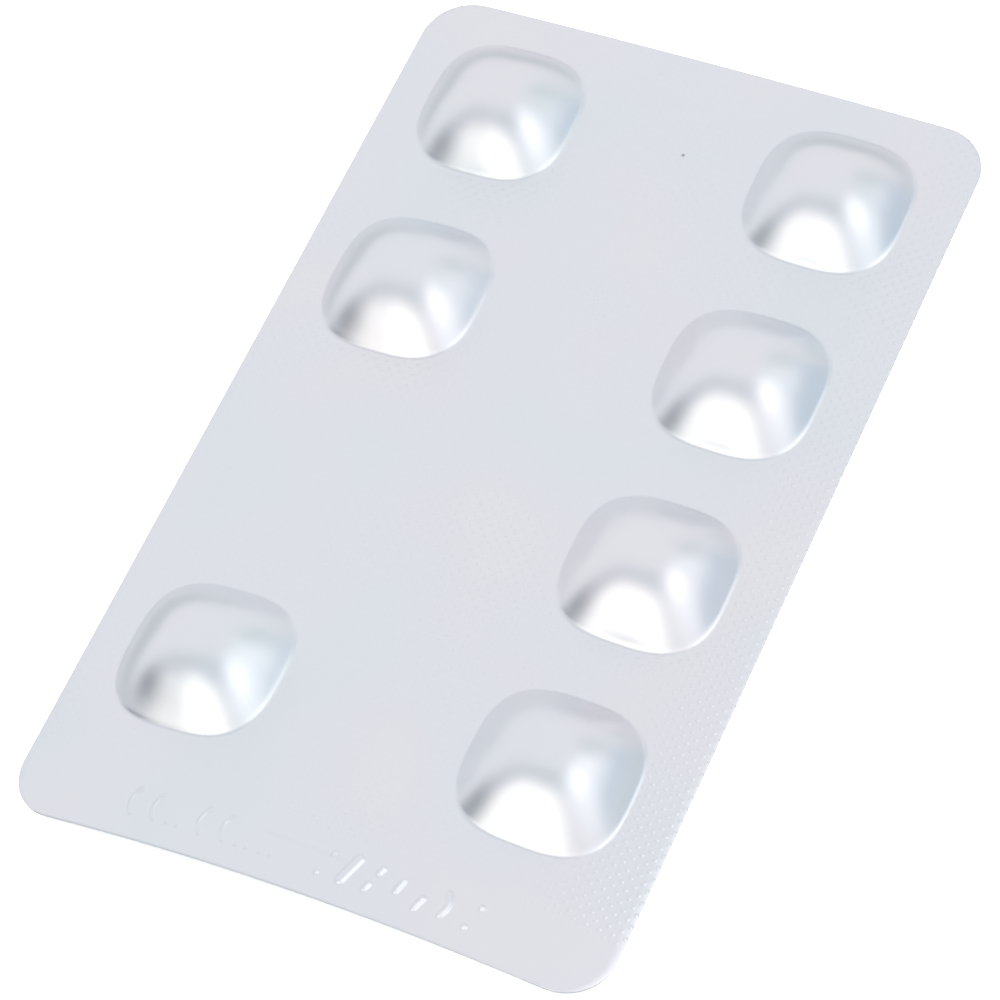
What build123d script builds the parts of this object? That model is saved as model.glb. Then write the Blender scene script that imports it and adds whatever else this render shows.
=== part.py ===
from build123d import *
from math import cos, pi, sin
import os

# A sealed blister card of cold-formed foil: one thin sheet, arched across its
# width, with seven domed pockets. The pockets can't be seen into and the two
# foils are sealed all over, so the card is one solid.
#
# +Z is up, out of the pockets. +Y runs along the card to its plain end, and -Y
# to the end with the wide margin. The long edges rest on Z = 0, and the origin
# is midway between them. All sizes are in millimetres.

# Card
CARD_WIDTH = 60.0
CARD_LENGTH = 99.0
CORNER_RADIUS = 5.0
SHEET_THICKNESS = 0.25

# Arch across the width: how far the middle stands above the long edges
ARCH_PLAIN_END = 0.5
ARCH_MARGIN_END = 3.5
ARCH_GROWTH = 3

# Pockets: a square with round corners at the foot, rounder towards the crown
POCKET_WIDTH = 15.8
POCKET_LENGTH = 15.8
POCKET_HEIGHT = 4.7
FOOT_SQUARENESS = 3.0
CROWN_SQUARENESS = 2.2
ENTRY_RADIUS = 0.8
CROWN_SHARE = 0.12
DOME_FULLNESS = 2.0

# Grid of pockets: two columns, with one place left blank
COLUMN_SPACING = 35.2
COLUMN_OFFSET = -0.35
ROW_PITCH = 22.4
FIRST_ROW_TO_END = 12.1
ROW_COUNT = 4
BLANK_PLACE = ("left", 2)

# How far the cutting bodies reach past the card
TRIM_MARGIN = 3.0
TRIM_DEPTH = 2.0

# How finely the curved surfaces are lofted
ARCH_SECTIONS = 9
OUTLINE_POINTS = 24
DOME_SHARES = (1.08, 1.0, 0.9, 0.78, 0.64, 0.5, 0.36, 0.24, CROWN_SHARE)


def crown_height(y):
    """How far the sheet's middle stands above its long edges, at y along the card."""
    share = (CARD_LENGTH / 2 - y) / CARD_LENGTH
    return ARCH_PLAIN_END + (ARCH_MARGIN_END - ARCH_PLAIN_END) * share**ARCH_GROWTH


def arch_height(x, y):
    """Height of the sheet's underside: a shallow arch across the card."""
    return crown_height(y) * (1 - (2 * x / CARD_WIDTH) ** 2)


def arch_section(y, lift):
    """The region under the arch at y, from below the card up to the lifted arch."""
    side = CARD_WIDTH / 2 + TRIM_MARGIN
    edge = arch_height(side, y) + lift
    top = ThreePointArc((-side, y, edge), (0, y, crown_height(y) + lift), (side, y, edge))
    below = -2 * TRIM_DEPTH
    foot = Polyline((side, y, edge), (side, y, below), (-side, y, below), (-side, y, edge))
    return make_face(top.edges() + foot.edges())


def under_arch(lift):
    """Everything under the arched surface that lies `lift` above the sheet's underside."""
    reach = CARD_LENGTH / 2 + TRIM_MARGIN
    step = 2 * reach / (ARCH_SECTIONS - 1)
    return loft([arch_section(-reach + step * n, lift) for n in range(ARCH_SECTIONS)])


def card_prism():
    """The card's outline as an upright block, taller than the arched sheet both ways."""
    height = ARCH_MARGIN_END + SHEET_THICKNESS + 2 * TRIM_DEPTH
    return Pos(0, 0, -TRIM_DEPTH) * extrude(RectangleRounded(CARD_WIDTH, CARD_LENGTH, CORNER_RADIUS), height)


def pocket_outline(share):
    """The section of a dome where it has shrunk to a share of the pocket."""
    climb = (share - CROWN_SHARE) / (1 - CROWN_SHARE)
    height = POCKET_HEIGHT * (1 - climb**DOME_FULLNESS)
    squareness = CROWN_SQUARENESS + (FOOT_SQUARENESS - CROWN_SQUARENESS) * climb
    points = []
    for n in range(OUTLINE_POINTS):
        across = cos(2 * pi * n / OUTLINE_POINTS)
        along = sin(2 * pi * n / OUTLINE_POINTS)
        norm = (abs(across) ** squareness + abs(along) ** squareness) ** (1 / squareness)
        x = share * POCKET_WIDTH / 2 * across / norm
        y = share * POCKET_LENGTH / 2 * along / norm
        points.append((x, y, height))
    return make_face(Spline(*points, periodic=True))


def dome():
    """One pocket about its own centre, with its wall carried on below the sheet."""
    return loft([pocket_outline(share) for share in DOME_SHARES])


def pocket_places():
    """Centres of the filled pockets, column by column from the plain end."""
    places = []
    for column, side in (("left", -1), ("right", 1)):
        for row in range(ROW_COUNT):
            if (column, row) != BLANK_PLACE:
                x = COLUMN_OFFSET + side * COLUMN_SPACING / 2
                y = CARD_LENGTH / 2 - FIRST_ROW_TO_END - row * ROW_PITCH
                places.append((x, y))
    return places


def sheet_plane(x, y):
    """The plane that touches the sheet's upper side at a place, with its normal outwards."""
    step = 1.0
    slope_across = (arch_height(x + step, y) - arch_height(x - step, y)) / (2 * step)
    slope_along = (arch_height(x, y + step) - arch_height(x, y - step)) / (2 * step)
    place = (x, y, arch_height(x, y) + SHEET_THICKNESS)
    return Plane(origin=place, x_dir=(1, 0, slope_across), z_dir=(-slope_across, -slope_along, 1))


def is_dome_foot(edge):
    """True for the closed edge where a dome meets the sheet's upper side."""
    return edge.is_closed and edge.length > 2 * POCKET_WIDTH


def blister_pack():
    """The whole card: the arched sheet, its domes and the rounded foot of each dome."""
    upper = card_prism() & under_arch(SHEET_THICKNESS)
    for x, y in pocket_places():
        upper += sheet_plane(x, y) * dome()
    upper = fillet(upper.edges().filter_by(is_dome_foot), ENTRY_RADIUS)
    return upper - under_arch(0)


os.makedirs("parts", exist_ok=True)
export_step(blister_pack(), "parts/blister_pack.step")
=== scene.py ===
"""A sealed blister card of cold-formed aluminium foil, lying lid side down on a pale floor.

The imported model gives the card's width and length. The two foils of the real card are drawn here as
closed meshes: the forming foil with its domed pockets, and the flat lid foil sealed under it.
Shapes are worked out in millimetres, and the meshes are written in metres.
"""

import math

import bpy
import numpy as np
from mathutils import Matrix, Vector


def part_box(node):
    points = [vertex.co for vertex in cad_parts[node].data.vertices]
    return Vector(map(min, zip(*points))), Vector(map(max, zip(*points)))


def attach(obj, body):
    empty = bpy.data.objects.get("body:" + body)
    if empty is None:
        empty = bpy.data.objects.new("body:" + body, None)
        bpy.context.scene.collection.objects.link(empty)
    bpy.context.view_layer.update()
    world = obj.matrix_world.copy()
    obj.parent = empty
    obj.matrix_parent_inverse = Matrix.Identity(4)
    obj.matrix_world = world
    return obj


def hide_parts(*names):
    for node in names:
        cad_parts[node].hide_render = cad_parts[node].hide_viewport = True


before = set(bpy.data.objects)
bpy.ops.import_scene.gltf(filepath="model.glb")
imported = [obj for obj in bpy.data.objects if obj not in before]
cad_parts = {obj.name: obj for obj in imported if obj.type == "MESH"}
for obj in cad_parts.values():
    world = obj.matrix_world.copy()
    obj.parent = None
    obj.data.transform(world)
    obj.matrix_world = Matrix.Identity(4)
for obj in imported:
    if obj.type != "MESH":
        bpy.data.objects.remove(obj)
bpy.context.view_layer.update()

MM = 0.001
CARD = "blister_pack"
card_low, card_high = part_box(CARD)
CARD_WIDTH = (card_high.x - card_low.x) / MM
CARD_LENGTH = (card_high.y - card_low.y) / MM

# The card, as in the CAD model, in mm
CORNER_RADIUS = 5.0
SHEET_THICKNESS = 0.25
ARCH_PLAIN_END = 0.5
ARCH_MARGIN_END = 3.5
ARCH_GROWTH = 3

POCKET_WIDTH = 15.8
POCKET_LENGTH = 15.8
POCKET_HEIGHT = 4.7
FOOT_SQUARENESS = 3.0
CROWN_SQUARENESS = 2.2
CROWN_SHARE = 0.12
DOME_FULLNESS = 2.0
FOOT_BLEND = 0.35

# Shares of a pocket's outline: where its dome surely ends, and where the flat seal starts and is whole
DOME_REACH = 1.2
SEAL_START = 1.0
SEAL_WHOLE = 1.08

# How often the share is worked out again, as a dome's squareness depends on it
SHARE_ROUNDS = 12

COLUMN_SPACING = 35.2
COLUMN_OFFSET = -0.35
ROW_PITCH = 22.4
FIRST_ROW_TO_END = 12.1
ROW_COUNT = 4
BLANK_PLACE = ("left", 2)  # its column, and its row counted from 0 at the plain end

# The two foils and their cut edge, in mm
LID_THICKNESS = 0.045
FOIL_GAP = 0.005
EDGE_ROUND = 0.1
EDGE_DROP = 0.05

# Mesh spacing, in mm
FINE = 0.21
STRIP_FINE = 0.14
COARSE = 0.95
UNDER_STEP = 3.0
LID_STEP = 1.5
CORNER_STEPS = 14
POCKET_REACH = 8.7
SHARP_ANGLE = 40

# Rows inside the rounded corners start here, and columns this far from the sides are drawn in at the corners
INNER_ROW = CARD_LENGTH / 2 - CORNER_RADIUS + 0.3
CORNER_ROW_GAP = 0.1
DRAWN_IN = CORNER_RADIUS + 1

# The strip of embossed marks along the wide margin, in mm
STRIP_MIDDLE = 3.8
STRIP_REACH = 2.1
STRIP_LEFT = -19.6
STRIP_RIGHT = 18.4
MARK_PITCH = 2.4
FINE_MARKS_START = -17.6
FINE_MARK_HEIGHT = 0.14
FINE_STROKE = 0.15
BOLD_MARKS_START = 2.4
BOLD_MARK_HEIGHT = 0.24
BOLD_STROKE = 0.26

# A stroke is flat out to one share of its width and runs out at the other
STROKE_FLAT = 0.2
STROKE_END = 1.6

# A faint crease between the two groups of marks, in mm
CREASE_START = (-3.8, -44.55)
CREASE_END = (3.9, -44.8)
CREASE_HEIGHT = 0.06
CREASE_REACH = 0.5


# ---------------------------------------------------------------- the card's surface


def smooth_step(value, low, high):
    """0 below low, 1 above high, and an S curve between them."""
    t = np.clip((value - low) / (high - low), 0, 1)
    return t * t * (3 - 2 * t)


def crown_height(y):
    """How far the sheet's middle stands above its long edges, at y along the card."""
    share = (CARD_LENGTH / 2 - y) / CARD_LENGTH
    return ARCH_PLAIN_END + (ARCH_MARGIN_END - ARCH_PLAIN_END) * share**ARCH_GROWTH


def arch_height(x, y):
    """Height of the sheet's underside: a shallow arch across the card."""
    return crown_height(y) * (1 - (2 * x / CARD_WIDTH) ** 2)


def sheet_normals(x, y):
    """Unit normals of the arched sheet, pointing out of the pockets."""
    step = 0.5
    across = (arch_height(x + step, y) - arch_height(x - step, y)) / (2 * step)
    along = (arch_height(x, y + step) - arch_height(x, y - step)) / (2 * step)
    normals = np.stack([-across, -along, np.ones_like(across)], axis=-1)
    return normals / np.linalg.norm(normals, axis=-1, keepdims=True)


def pocket_places():
    """Centres of the filled pockets, column by column from the plain end."""
    places = []
    for column, side in (("left", -1), ("right", 1)):
        for row in range(ROW_COUNT):
            if (column, row) != BLANK_PLACE:
                x = COLUMN_OFFSET + side * COLUMN_SPACING / 2
                y = CARD_LENGTH / 2 - FIRST_ROW_TO_END - row * ROW_PITCH
                places.append((x, y))
    return places


def pocket_share(across, along):
    """How far out from a pocket's centre a point is, as a share of the pocket's outline."""
    a = np.abs(across) / (POCKET_WIDTH / 2)
    b = np.abs(along) / (POCKET_LENGTH / 2)
    share = np.maximum(a, b)
    for _ in range(SHARE_ROUNDS):
        climb = np.clip((share - CROWN_SHARE) / (1 - CROWN_SHARE), 0, DOME_REACH)
        squareness = CROWN_SQUARENESS + (FOOT_SQUARENESS - CROWN_SQUARENESS) * climb
        share = (a**squareness + b**squareness) ** (1 / squareness)
    return share


def dome_height(share):
    """Height of a dome over the sheet, with a small rounded foot where it meets the sheet."""
    climb = np.clip((share - CROWN_SHARE) / (1 - CROWN_SHARE), 0, None)
    height = POCKET_HEIGHT * (1 - climb**DOME_FULLNESS)
    foot = np.clip(height + FOOT_BLEND, 0, None) ** 2 / (4 * FOOT_BLEND)
    return np.where(height > FOOT_BLEND, height, foot)


def pocket_relief(x, y):
    """Height of the pockets over the sheet, and how much of the flat seal is left there."""
    height = np.zeros_like(x)
    sealed = np.ones_like(x)
    for centre_x, centre_y in pocket_places():
        share = pocket_share(x - centre_x, y - centre_y)
        height = np.maximum(height, np.where(share < DOME_REACH, dome_height(share), 0))
        sealed = np.minimum(sealed, smooth_step(share, SEAL_START, SEAL_WHOLE))
    return height, sealed


# ---------------------------------------------------------------- embossed marks


def line_distance(x, y, x0, y0, x1, y1):
    """Distance from points to a straight stroke."""
    along = ((x - x0) * (x1 - x0) + (y - y0) * (y1 - y0)) / ((x1 - x0) ** 2 + (y1 - y0) ** 2)
    along = np.clip(along, 0, 1)
    return np.hypot(x - x0 - along * (x1 - x0), y - y0 - along * (y1 - y0))


def bow_distance(x, y, side, radius, reach):
    """Distance from points to a bowed stroke, an arc that bulges to one side."""
    turn = np.clip(np.arctan2(y, side * x + radius), -reach, reach)
    return np.hypot(side * x + radius - radius * np.cos(turn), y - radius * np.sin(turn))


def left_bow(x, y):
    return bow_distance(x, y, -1, 2.0, 0.75)


def right_bow(x, y):
    return bow_distance(x, y, 1, 2.0, 0.6)


def broad_slash(x, y):
    return line_distance(x, y, -0.4, -1.3, 0.4, 1.3) - 0.16


def short_slash(x, y):
    return line_distance(x, y, -0.1, -0.5, 0.2, 0.8)


def low_slash(x, y):
    return line_distance(x, y, -0.35, -1.4, 0.05, -0.2)


def split_slash(x, y):
    low = line_distance(x, y, -0.4, -1.3, -0.2, -0.7)
    high = line_distance(x, y, 0.2, 0.6, 0.4, 1.2)
    return np.minimum(low, high)


def far_dots(x, y):
    return np.minimum(np.hypot(x + 0.3, y + 1.3), np.hypot(x - 0.4, y - 1.0))


def low_dots(x, y):
    return np.minimum(np.hypot(x + 0.5, y + 1.3), np.hypot(x - 0.6, y + 1.3))


FINE_MARKS = (left_bow, left_bow, low_dots, left_bow, left_bow, low_dots, low_dots)
BOLD_MARKS = (far_dots, broad_slash, split_slash, short_slash, low_slash, right_bow, far_dots)


def mark_relief(x, y):
    """Height of the embossed marks, plain bows, slashes and dots in two groups, and of the crease."""
    distance = line_distance(x, y, *CREASE_START, *CREASE_END)
    height = CREASE_HEIGHT * (1 - smooth_step(distance, 0, CREASE_REACH))
    middle = -CARD_LENGTH / 2 + STRIP_MIDDLE
    groups = (
        (FINE_MARKS, FINE_MARKS_START, FINE_STROKE, FINE_MARK_HEIGHT),
        (BOLD_MARKS, BOLD_MARKS_START, BOLD_STROKE, BOLD_MARK_HEIGHT),
    )
    for marks, start, stroke, mark_height in groups:
        for place, mark in enumerate(marks):
            distance = mark(x - start - place * MARK_PITCH, y - middle)
            raised = 1 - smooth_step(distance, STROKE_FLAT * stroke, STROKE_END * stroke)
            height = np.maximum(height, mark_height * raised)
    return height


# ---------------------------------------------------------------- grids and closed meshes


def spaced(start, end, step):
    """Evenly spaced values from start up to, but not including, end."""
    count = max(1, math.ceil(abs(end - start) / step - 1e-6))
    return [start + (end - start) * n / count for n in range(count)]


def chained(stops, steps):
    """Spaced values through a list of stops, with a step for each stretch."""
    values = []
    for start, end, step in zip(stops, stops[1:], steps):
        values += spaced(start, end, step)
    return values + [stops[-1]]


def half_width(y):
    """Half the card's width at y: full along the sides, less in the rounded corners."""
    past = abs(y) - (CARD_LENGTH / 2 - CORNER_RADIUS)
    if past <= 0:
        return CARD_WIDTH / 2
    return CARD_WIDTH / 2 - CORNER_RADIUS + math.sqrt(max(CORNER_RADIUS**2 - past**2, 0))


def corner_rows(end):
    """Rows through the rounded corners at one end, evenly spaced round the arc, from the tip inwards."""
    rows = [end * CARD_LENGTH / 2, end * (CARD_LENGTH / 2 - EDGE_ROUND)]
    for n in range(CORNER_STEPS - 2, 0, -1):
        turn = math.pi / 2 * n / CORNER_STEPS
        rows.append(end * (CARD_LENGTH / 2 - CORNER_RADIUS + CORNER_RADIUS * math.sin(turn)))
    return rows


def squeezed(lines, y):
    """Column positions at y, drawn in near the sides so that the outermost follow the corners."""
    inner = CARD_WIDTH / 2 - DRAWN_IN
    outer = half_width(y)
    x = np.array(lines)
    past = np.clip(np.abs(x) - inner, 0, None)
    return np.sign(x) * (np.minimum(np.abs(x), inner) + past * (outer - inner) / (CARD_WIDTH / 2 - inner))


def pocket_lines():
    """Column positions across the card: fine over the two columns of pockets."""
    side = CARD_WIDTH / 2
    left = COLUMN_OFFSET - COLUMN_SPACING / 2
    right = COLUMN_OFFSET + COLUMN_SPACING / 2
    stops = [-side, -side + EDGE_ROUND, left - POCKET_REACH, left + POCKET_REACH]
    stops += [right - POCKET_REACH, right + POCKET_REACH, side - EDGE_ROUND, side]
    return chained(stops, [COARSE, COARSE, FINE, COARSE, FINE, COARSE, COARSE])


def strip_lines(base):
    """The same columns, with finer ones between them over the strip of marks."""
    lines = []
    for start, end in zip(base, base[1:]):
        inside = start > STRIP_LEFT and end < STRIP_RIGHT
        lines += spaced(start, end, STRIP_FINE if inside else COARSE)
    return lines + [base[-1]]


def pocket_rows():
    """Row positions from the plain end: fine over each row of pockets, coarse between them."""
    side = CARD_LENGTH / 2
    stops = [INNER_ROW]
    steps = []
    for row in range(ROW_COUNT):
        centre = side - FIRST_ROW_TO_END - row * ROW_PITCH
        if row > 0:
            stops.append(centre + POCKET_REACH)
            steps.append(COARSE)
        stops.append(centre - POCKET_REACH)
        steps.append(FINE)
    stops.append(-side + STRIP_MIDDLE + STRIP_REACH)
    steps.append(COARSE)
    return chained(stops, steps)


def sheet_rows():
    """Every row of the forming foil, from the plain end to the margin, and whether it is in the strip."""
    strip_top = -CARD_LENGTH / 2 + STRIP_MIDDLE + STRIP_REACH
    strip_end = -CARD_LENGTH / 2 + STRIP_MIDDLE - STRIP_REACH
    far = [y for y in corner_rows(1) if y > INNER_ROW + CORNER_ROW_GAP]
    near = [y for y in reversed(corner_rows(-1)) if y < strip_end - STRIP_FINE / 2]
    strip = chained([strip_top, strip_end], [STRIP_FINE])[1:]
    rows = [(y, False) for y in far + pocket_rows()]
    rows += [(y, True) for y in strip]
    return rows + [(y, False) for y in near]


def edge_drop(x, y):
    """How far the cut edge is rolled down: all of it on the outline, none a little way in."""
    outline = np.array([half_width(v) for v in np.atleast_1d(y)])
    side = outline - np.abs(x)
    end = CARD_LENGTH / 2 - np.abs(y)
    near = np.minimum(side, end)
    return EDGE_DROP * (1 - np.clip(near / EDGE_ROUND, 0, 1))


class ClosedSheet:
    """Collects the rows of a thin sheet's two sides, and joins them into one closed mesh."""

    def __init__(self):
        self.points = []
        self.sealed = []
        self.faces = []

    def add_row(self, x, y, lift, sealed):
        """Adds points that stand `lift` above the arch, square to it. Returns their numbers."""
        first = len(self.sealed)
        y = np.full_like(x, y)
        base = np.stack([x, y, arch_height(x, y)], axis=-1)
        self.points.append(base + sheet_normals(x, y) * np.asarray(lift)[..., None])
        self.sealed += list(sealed)
        return list(range(first, first + len(x)))

    def stitch(self, upper, upper_x, lower, lower_x):
        """Joins two rows whose columns are nested: one face for each column of the coarser row."""
        if len(upper) >= len(lower):
            picks = np.searchsorted(upper_x, np.array(lower_x) - 1e-9)
            for n in range(len(lower) - 1):
                self.faces.append([lower[n], lower[n + 1]] + upper[picks[n] : picks[n + 1] + 1][::-1])
        else:
            picks = np.searchsorted(lower_x, np.array(upper_x) - 1e-9)
            for n in range(len(upper) - 1):
                self.faces.append(lower[picks[n] : picks[n + 1] + 1] + [upper[n + 1], upper[n]])

    def close(self, tops, unders):
        """Faces of both sides and of the cut edge, from rows of (numbers, columns)."""
        for (top, top_x), (after, after_x) in zip(tops, tops[1:]):
            self.stitch(top, top_x, after, after_x)
        for (under, under_x), (after, after_x) in zip(unders, unders[1:]):
            self.stitch(after, after_x, under, under_x)
        self.stitch(unders[0][0], unders[0][1], tops[0][0], tops[0][1])
        self.stitch(tops[-1][0], tops[-1][1], unders[-1][0], unders[-1][1])
        for n in range(len(tops) - 1):
            top, after = tops[n][0], tops[n + 1][0]
            under, under_after = unders[n][0], unders[n + 1][0]
            self.faces.append([top[0], after[0], under_after[0], under[0]])
            self.faces.append([after[-1], top[-1], under[-1], under_after[-1]])

    def build(self, name):
        mesh = bpy.data.meshes.new(name)
        mesh.from_pydata(np.concatenate(self.points) * MM, [], self.faces)
        attribute = mesh.attributes.new("sealed", "FLOAT", "POINT")
        attribute.data.foreach_set("value", np.array(self.sealed, dtype=np.float32))
        mesh.validate()
        mesh.shade_smooth()
        mesh.set_sharp_from_angle(angle=math.radians(SHARP_ANGLE))
        piece = bpy.data.objects.new(name, mesh)
        bpy.context.scene.collection.objects.link(piece)
        return piece


def under_lines(lines):
    """A coarse choice of the given columns, with both ends kept."""
    kept = [lines[0]]
    for value in lines[1:-1]:
        if value - kept[-1] >= UNDER_STEP and lines[-1] - value >= UNDER_STEP / 2:
            kept.append(value)
    return kept + [lines[-1]]


def forming_foil():
    """The cold-formed foil: sheet, domes and embossed marks above, plain below."""
    sheet = ClosedSheet()
    plain = pocket_lines()
    strip = strip_lines(plain)
    below = under_lines(plain)
    floor = LID_THICKNESS + FOIL_GAP
    tops, unders = [], []
    for y, in_strip in sheet_rows():
        lines = strip if in_strip else plain
        x = squeezed(lines, y)
        row_y = np.full_like(x, y)
        height, sealed = pocket_relief(x, row_y)
        if in_strip:
            height = height + mark_relief(x, row_y)
        lift = SHEET_THICKNESS + height - edge_drop(x, row_y)
        tops.append((sheet.add_row(x, y, lift, sealed), lines))
        low_x = squeezed(below, y)
        unders.append((sheet.add_row(low_x, y, np.full_like(low_x, floor), np.ones_like(low_x)), below))
    sheet.close(tops, unders)
    return sheet.build("forming_foil")


def lid_foil():
    """The flat lid foil, sealed to the underside of the forming foil."""
    sheet = ClosedSheet()
    side = CARD_WIDTH / 2
    lines = chained([-side, side], [LID_STEP])
    far = [y for y in corner_rows(1) if y > INNER_ROW + CORNER_ROW_GAP]
    middle = chained([INNER_ROW, -INNER_ROW], [LID_STEP])
    tops, unders = [], []
    for y in far + middle + [-y for y in reversed(far)]:
        x = squeezed(lines, y)
        sealed = np.ones_like(x)
        tops.append((sheet.add_row(x, y, np.full_like(x, LID_THICKNESS), sealed), lines))
        unders.append((sheet.add_row(x, y, np.zeros_like(x), sealed), lines))
    sheet.close(tops, unders)
    return sheet.build("lid_foil")


# ---------------------------------------------------------------- materials


def hex_colour(text):
    """An sRGB hex colour as linear RGBA."""
    channels = [int(text[n : n + 2], 16) / 255 for n in (1, 3, 5)]
    linear = [c / 12.92 if c <= 0.04045 else ((c + 0.055) / 1.055) ** 2.4 for c in channels]
    return (*linear, 1.0)


def add_node(tree, kind, inputs=None, **settings):
    """Adds a node with its settings. An input, by name or number, is a value, a socket or another node."""
    node = tree.nodes.new(kind)
    for name, value in settings.items():
        setattr(node, name, value)
    for socket, value in (inputs or {}).items():
        if isinstance(value, bpy.types.Node):
            value = value.outputs[0]
        if isinstance(value, bpy.types.NodeSocket):
            tree.links.new(value, node.inputs[socket])
        else:
            node.inputs[socket].default_value = value
    return node


def new_material(name):
    """An empty node material and its tree."""
    material = bpy.data.materials.new(name)
    material.use_nodes = True
    material.node_tree.nodes.clear()
    return material, material.node_tree


# Seal pattern: dots along both diagonals of the card, in mm. It grows to full depth from one place to the
# next across the card, towards its right edge, and along the card, away from the strip of marks
SEAL_PITCH = 0.88
SEAL_DOT_HEIGHT = 0.042
SEAL_PATCH_SIZE = 24.0
SEAL_RIGHT_EDGE = (17.0, 27.0)
SEAL_STRIP_EDGE = (-43.5, -42.5)

# A dot rises between these heights of the lattice's two added waves
SEAL_WAVE = (0.5, 1.9)

# The noise between these values gives the patches, pressed to these shares of the full depth
SEAL_PATCHES = (0.4, 0.65)
SEAL_PATCH_DEPTH = (0.2, 0.9)

# Surface of the foil, sizes in mm
MOTTLE_SIZE = 18.0
MOTTLE_RANGE = (0.35, 0.65)
GRAIN_WIDTH = 0.09
GRAIN_LENGTH = 4.0
GRAIN_HEIGHT = 0.0005
SHEET_ROUGHNESS = 0.38
POCKET_ROUGHNESS = 0.33
LID_ROUGHNESS = 0.32
PAPER_ROUGHNESS = 0.9

# A speck of dirt by the far right pocket, in mm
SPECK_PLACE = (1.6, 38.1, 0.8)
SPECK_RADIUS = 0.22
SPECK_CORE = 0.6
SPECK_STRENGTH = 0.6
SPECK_COLOUR = "#6A6C74"


def seal_dots(tree, place):
    """Height, 0 to 1, of the sealing plate's dots: a square lattice turned by 45 degrees."""
    per_metre = 2 * math.pi / (SEAL_PITCH * MM)
    turned = add_node(
        tree,
        "ShaderNodeMapping",
        {"Vector": place, "Rotation": (0, 0, math.pi / 4), "Scale": (per_metre, per_metre, 0)},
    )
    split = add_node(tree, "ShaderNodeSeparateXYZ", {0: turned})
    across = add_node(tree, "ShaderNodeMath", {0: split.outputs["X"]}, operation="COSINE")
    along = add_node(tree, "ShaderNodeMath", {0: split.outputs["Y"]}, operation="COSINE")
    both = add_node(tree, "ShaderNodeMath", {0: across, 1: along}, operation="ADD")
    return add_node(
        tree,
        "ShaderNodeMapRange",
        {"Value": both, "From Min": SEAL_WAVE[0], "From Max": SEAL_WAVE[1]},
        interpolation_type="SMOOTHSTEP",
    )


def seal_pressure(tree, place):
    """How deep the plate pressed, 0 to 1: patchy, deepest by the right edge, none in the strip of marks."""
    per_metre = 1 / (SEAL_PATCH_SIZE * MM)
    spread = add_node(tree, "ShaderNodeMapping", {"Vector": place, "Scale": (per_metre,) * 3})
    patches = add_node(tree, "ShaderNodeTexNoise", {"Vector": spread, "Scale": 1.0, "Detail": 1.0})
    patchy = add_node(
        tree,
        "ShaderNodeMapRange",
        {
            "Value": patches,
            "From Min": SEAL_PATCHES[0],
            "From Max": SEAL_PATCHES[1],
            "To Min": SEAL_PATCH_DEPTH[0],
            "To Max": SEAL_PATCH_DEPTH[1],
        },
    )
    split = add_node(tree, "ShaderNodeSeparateXYZ", {0: place})
    right_edge = add_node(
        tree,
        "ShaderNodeMapRange",
        {
            "Value": split.outputs["X"],
            "From Min": SEAL_RIGHT_EDGE[0] * MM,
            "From Max": SEAL_RIGHT_EDGE[1] * MM,
        },
    )
    deepest = add_node(tree, "ShaderNodeMath", {0: patchy, 1: right_edge}, operation="MAXIMUM")
    off_strip = add_node(
        tree,
        "ShaderNodeMapRange",
        {
            "Value": split.outputs["Y"],
            "From Min": SEAL_STRIP_EDGE[0] * MM,
            "From Max": SEAL_STRIP_EDGE[1] * MM,
        },
    )
    return add_node(tree, "ShaderNodeMath", {0: deepest, 1: off_strip}, operation="MULTIPLY")


def rolling_grain(tree, place):
    """Height, 0 to 1, of the fine lines that the rolling mill leaves along the foil."""
    across = 1 / (GRAIN_WIDTH * MM)
    along = 1 / (GRAIN_LENGTH * MM)
    spread = add_node(tree, "ShaderNodeMapping", {"Vector": place, "Scale": (across, along, across)})
    return add_node(tree, "ShaderNodeTexNoise", {"Vector": spread, "Scale": 1.0, "Detail": 2.0})


def foil_tint(tree, place, warm, cool):
    """Bare aluminium with wide, faint, warm and cool patches."""
    per_metre = 1 / (MOTTLE_SIZE * MM)
    spread = add_node(tree, "ShaderNodeMapping", {"Vector": place, "Scale": (per_metre,) * 3})
    cloud = add_node(tree, "ShaderNodeTexNoise", {"Vector": spread, "Scale": 1.0, "Detail": 1.0})
    mottle = add_node(
        tree,
        "ShaderNodeMapRange",
        {"Value": cloud, "From Min": MOTTLE_RANGE[0], "From Max": MOTTLE_RANGE[1]},
    )
    return add_node(
        tree,
        "ShaderNodeMix",
        {0: mottle, 6: hex_colour(cool), 7: hex_colour(warm)},
        data_type="RGBA",
    ).outputs[2]


def specked(tree, place, tint):
    """The foil's colour with one small speck of dirt on it."""
    away = add_node(
        tree,
        "ShaderNodeVectorMath",
        {0: place, 1: Vector(SPECK_PLACE) * MM},
        operation="DISTANCE",
    )
    speck = add_node(
        tree,
        "ShaderNodeMapRange",
        {
            "Value": away.outputs["Value"],
            "From Min": SPECK_CORE * SPECK_RADIUS * MM,
            "From Max": SPECK_RADIUS * MM,
            "To Min": SPECK_STRENGTH,
            "To Max": 0.0,
        },
    )
    return add_node(
        tree, "ShaderNodeMix", {0: speck, 6: tint, 7: hex_colour(SPECK_COLOUR)}, data_type="RGBA"
    ).outputs[2]


def pressed_surface(tree, place, pressed):
    """The surface's tilt from the sealing dots, where they are pressed, and from the rolling grain."""
    dots = add_node(tree, "ShaderNodeMath", {0: seal_dots(tree, place), 1: pressed}, operation="MULTIPLY")
    dot_bump = add_node(tree, "ShaderNodeBump", {"Height": dots, "Distance": SEAL_DOT_HEIGHT * MM})
    return add_node(
        tree,
        "ShaderNodeBump",
        {"Height": rolling_grain(tree, place), "Distance": GRAIN_HEIGHT * MM, "Normal": dot_bump},
    )


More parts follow.
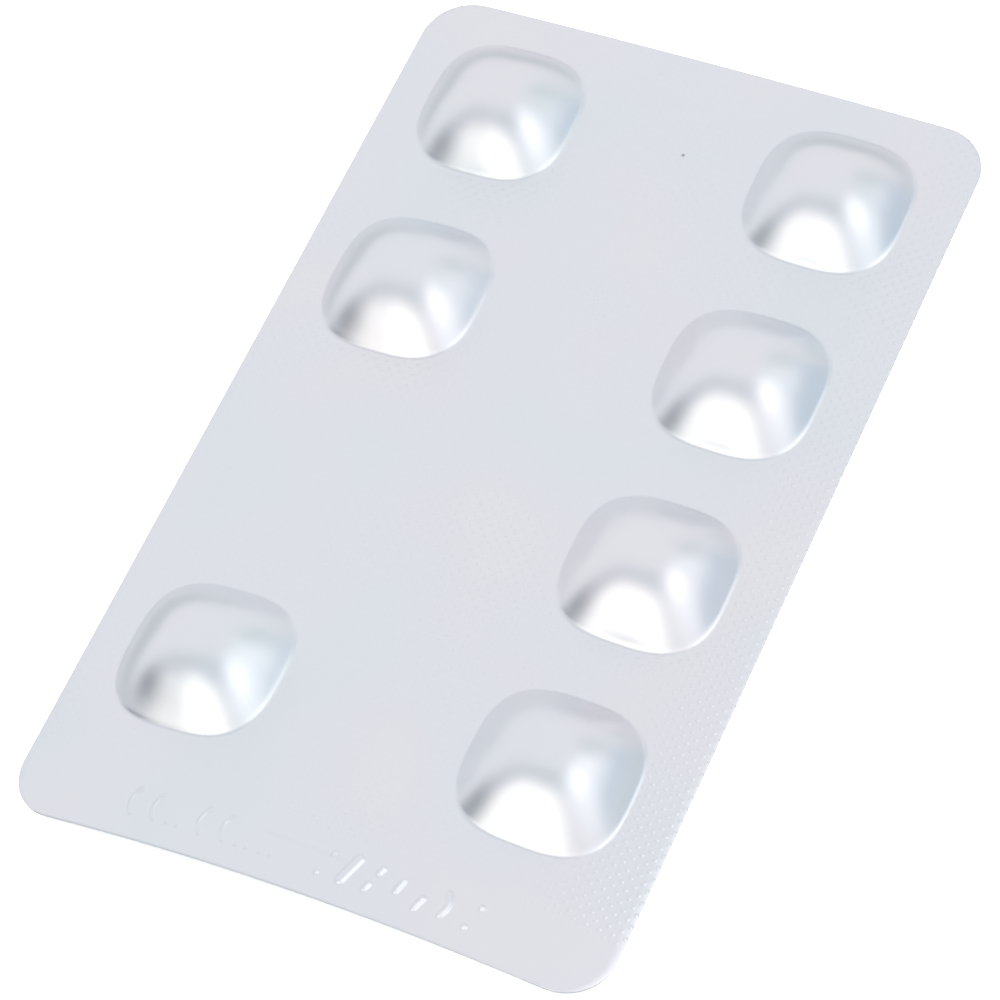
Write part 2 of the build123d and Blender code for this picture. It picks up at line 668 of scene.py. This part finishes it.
def cold_formed_foil():
    """Cold-formed aluminium laminate: drawn satin in the domes, a little more matte where it was sealed."""
    material, tree = new_material("aluminium_foil_cold_formed")
    place = add_node(tree, "ShaderNodeTexCoord").outputs["Object"]
    sealed = add_node(tree, "ShaderNodeAttribute", attribute_name="sealed").outputs["Fac"]
    tint = foil_tint(tree, place, warm="#EFEDF0", cool="#EAEDF0")
    roughness = add_node(
        tree,
        "ShaderNodeMapRange",
        {"Value": sealed, "To Min": POCKET_ROUGHNESS, "To Max": SHEET_ROUGHNESS},
    )
    pressed = add_node(
        tree, "ShaderNodeMath", {0: seal_pressure(tree, place), 1: sealed}, operation="MULTIPLY"
    )
    shader = add_node(
        tree,
        "ShaderNodeBsdfPrincipled",
        {
            "Base Color": specked(tree, place, tint),
            "Metallic": 1.0,
            "Roughness": roughness,
            "Normal": pressed_surface(tree, place, pressed),
        },
    )
    add_node(tree, "ShaderNodeOutputMaterial", {"Surface": shader})
    return material


def rolled_lid_foil():
    """Hard rolled aluminium lid foil: a little brighter, with the sealing dots pressed through."""
    material, tree = new_material("aluminium_foil_rolled_lid")
    place = add_node(tree, "ShaderNodeTexCoord").outputs["Object"]
    shader = add_node(
        tree,
        "ShaderNodeBsdfPrincipled",
        {
            "Base Color": foil_tint(tree, place, warm="#EFEEEE", cool="#EAECEF"),
            "Metallic": 1.0,
            "Roughness": LID_ROUGHNESS,
            "Normal": pressed_surface(tree, place, seal_pressure(tree, place)),
        },
    )
    add_node(tree, "ShaderNodeOutputMaterial", {"Surface": shader})
    return material


def matte_paper():
    """Matte white background paper, with no gloss of its own."""
    material, tree = new_material("matte_white_paper")
    shader = add_node(
        tree,
        "ShaderNodeBsdfPrincipled",
        {"Base Color": hex_colour(FLOOR_COLOUR), "Roughness": PAPER_ROUGHNESS},
    )
    add_node(tree, "ShaderNodeOutputMaterial", {"Surface": shader})
    return material


def fading(tree, distance, core):
    """1 out to the core, a share of the panel's half size, and down to 0 at its rim."""
    outward = add_node(tree, "ShaderNodeMath", {0: distance}, operation="ABSOLUTE")
    return add_node(
        tree,
        "ShaderNodeMapRange",
        {"Value": outward, "From Min": core, "From Max": 1.0, "To Min": 1.0, "To Max": 0.0},
        interpolation_type="SMOOTHSTEP",
    )


def soft_glow(name, colour, strength, core):
    """An evenly lit studio panel that fades out from its core to its four sides."""
    material, tree = new_material(name)
    place = add_node(tree, "ShaderNodeTexCoord").outputs["Object"]
    split = add_node(tree, "ShaderNodeSeparateXYZ", {0: place})
    cover = add_node(
        tree,
        "ShaderNodeMath",
        {0: fading(tree, split.outputs["X"], core), 1: fading(tree, split.outputs["Y"], core)},
        operation="MULTIPLY",
    )
    clear = add_node(tree, "ShaderNodeBsdfTransparent")
    glow = add_node(tree, "ShaderNodeEmission", {"Color": hex_colour(colour), "Strength": strength})
    mixed = add_node(tree, "ShaderNodeMixShader", {0: cover, 1: clear, 2: glow})
    add_node(tree, "ShaderNodeOutputMaterial", {"Surface": mixed})
    return material


# ---------------------------------------------------------------- studio

# The camera looks down at the card from its near right, in degrees and mm
CAMERA_AIM = (0.53, -4.17, 0.25)
CAMERA_AZIMUTH = 36.86
CAMERA_ELEVATION = 56.81
CAMERA_ROLL = -15.1
CAMERA_DISTANCE = 403.4
CAMERA_LENS = 154.19
CAMERA_SENSOR = 36.0

WORLD_COLOUR = "#F0F2F6"
FLOOR_COLOUR = "#FAFAFA"
FLOOR_SIZE = 3.0

# The overhead light that whitens the floor: height, side and brightness
FLOOR_LIGHT = (1.3, 2.4, 3.8)

# Large soft panels that the foil mirrors. Azimuth from +X towards +Y, elevation, width and height in
# degrees as seen from the card; distance in metres; colour, brightness and the share that is evenly lit
PANELS = {
    "near_window": (-95, 25, 82, 106, 0.60, "#FFFEFA", 1.5, 0.2),
    "right_window": (6, 32, 92, 76, 0.66, "#F8FBFF", 1.12, 0.2),
    "right_streak": (12, 46, 50, 50, 0.64, "#FAFCFF", 1.6, 0.1),
    "left_dark_panel": (-141, 18, 54, 32, 0.54, "#565E66", 1.0, 0.1),
    "left_grey_panel": (-145, 44, 46, 104, 0.70, "#CED2D9", 1.0, 0.1),
    "overhead_grey_panel": (-60, 76, 80, 44, 0.72, "#CCD4DA", 1.0, 0.1),
    "right_low_panel": (27, 3, 66, 32, 0.56, "#AEC6DA", 1.0, 0.3),
    "far_right_panel": (52, 34, 46, 56, 0.58, "#CFDBDE", 1.0, 0.0),
}

# The table that the foil mirrors, which is greyer than the floor and lies a little under it, depths in mm.
# Bright patches lie on its near and right sides: middle and half size in metres, and the evenly lit share
MIRRORED_TABLE_COLOUR = "#C8D0D3"
TABLE_CORE = 0.99
TABLE_DEPTH = 0.2
TABLE_GLOW_COLOUR = "#FFFEFA"
TABLE_GLOW_BRIGHTNESS = 1.2
TABLE_GLOW_DEPTH = 0.1
TABLE_GLOWS = {
    "near_table_glow": (0.0, -0.31, 0.36, 0.27, 0.6),
    "right_table_glow": (0.19, -0.05, 0.15, 0.17, 0.8),
}


def direction(azimuth, elevation):
    """Unit vector from the card towards a place in the studio."""
    a, e = math.radians(azimuth), math.radians(elevation)
    return Vector((math.cos(e) * math.cos(a), math.cos(e) * math.sin(a), math.sin(e)))


def facing(place, target=Vector((0, 0, 0))):
    """Turns something at a place so that its -Z side faces the target, with its Y side up."""
    return (target - place).to_track_quat("-Z", "Y").to_matrix().to_4x4()


def mirrored_only(name, corners, material, matrix=None):
    """A flat four-cornered piece of the studio that only the foil's reflections see."""
    mesh = bpy.data.meshes.new(name)
    mesh.from_pydata(corners, [], [(0, 1, 2, 3)])
    mesh.materials.append(material)
    piece = bpy.data.objects.new(name, mesh)
    if matrix is not None:
        piece.matrix_world = matrix
    piece.visible_camera = False
    piece.visible_diffuse = False
    piece.visible_shadow = False
    bpy.context.scene.collection.objects.link(piece)


UNIT_SQUARE = ((-1, -1, 0), (1, -1, 0), (1, 1, 0), (-1, 1, 0))


def soft_panel(name, azimuth, elevation, width, height, distance, colour, brightness, core):
    """A soft-edged panel, facing the card, as wide and high as the given angles."""
    place = direction(azimuth, elevation) * distance
    half_wide = distance * math.tan(math.radians(width / 2))
    half_high = distance * math.tan(math.radians(height / 2))
    size = Matrix.Diagonal((half_wide, half_high, 1, 1))
    matrix = Matrix.Translation(place) @ facing(place) @ size
    mirrored_only(name, UNIT_SQUARE, soft_glow(name, colour, brightness, core), matrix)


def mirrored_table():
    """The greyer table under the floor, and the bright patches on its near and right sides."""
    s = FLOOR_SIZE / 2
    corners = [(x * s, y * s, -TABLE_DEPTH * MM) for x, y, _ in UNIT_SQUARE]
    table = soft_glow("mirrored_table", MIRRORED_TABLE_COLOUR, 1.0, TABLE_CORE)
    mirrored_only("mirrored_table", corners, table)
    for name, (x, y, half_wide, half_long, core) in TABLE_GLOWS.items():
        place = Matrix.Translation((x, y, -TABLE_GLOW_DEPTH * MM))
        size = Matrix.Diagonal((half_wide, half_long, 1, 1))
        glow = soft_glow(name, TABLE_GLOW_COLOUR, TABLE_GLOW_BRIGHTNESS, core)
        mirrored_only(name, UNIT_SQUARE, glow, place @ size)


def floor_light():
    """A broad light overhead that whitens the floor and isn't mirrored in the foil."""
    height, side, brightness = FLOOR_LIGHT
    light = bpy.data.lights.new("floor_light", "AREA")
    light.shape = "SQUARE"
    light.size = side
    light.energy = brightness * math.pi * side * side
    lamp = bpy.data.objects.new("floor_light", light)
    lamp.location = (0, 0, height)
    lamp.visible_camera = False
    lamp.visible_glossy = False
    bpy.context.scene.collection.objects.link(lamp)


def studio_floor():
    """A wide, plain, pale floor."""
    mesh = bpy.data.meshes.new("studio_floor")
    s = FLOOR_SIZE / 2
    mesh.from_pydata([(x * s, y * s, 0) for x, y, _ in UNIT_SQUARE], [], [(0, 1, 2, 3)])
    mesh.materials.append(matte_paper())
    floor = bpy.data.objects.new("studio_floor", mesh)
    floor.visible_glossy = False
    bpy.context.scene.collection.objects.link(floor)


def studio_world():
    """An even pale surround."""
    world = bpy.data.worlds.new("pale_surround")
    world.use_nodes = True
    world.node_tree.nodes.clear()
    tree = world.node_tree
    glow = add_node(tree, "ShaderNodeBackground", {"Color": hex_colour(WORLD_COLOUR), "Strength": 1.0})
    add_node(tree, "ShaderNodeOutputWorld", {"Surface": glow})
    bpy.context.scene.world = world


def studio_camera():
    """The camera, turned a little about its own line of sight."""
    lens = bpy.data.cameras.new("camera")
    lens.sensor_width = CAMERA_SENSOR
    lens.lens = CAMERA_LENS
    lens.clip_start = 0.01
    camera = bpy.data.objects.new("camera", lens)
    aim = Vector(CAMERA_AIM) * MM
    place = aim + direction(CAMERA_AZIMUTH - 90, CAMERA_ELEVATION) * CAMERA_DISTANCE * MM
    roll = Matrix.Rotation(math.radians(CAMERA_ROLL), 4, "Z")
    camera.matrix_world = Matrix.Translation(place) @ facing(place, aim) @ roll
    bpy.context.scene.collection.objects.link(camera)
    bpy.context.scene.camera = camera


def dress(piece, material):
    """Gives a foil its finish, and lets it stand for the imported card."""
    piece.data.materials.append(material)
    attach(piece, "root")
    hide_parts(CARD)


dress(forming_foil(), cold_formed_foil())
dress(lid_foil(), rolled_lid_foil())

studio_floor()
studio_world()
floor_light()
mirrored_table()
for name, setting in PANELS.items():
    soft_panel(name, *setting)
studio_camera()
bpy.context.scene.view_settings.view_transform = "Standard"
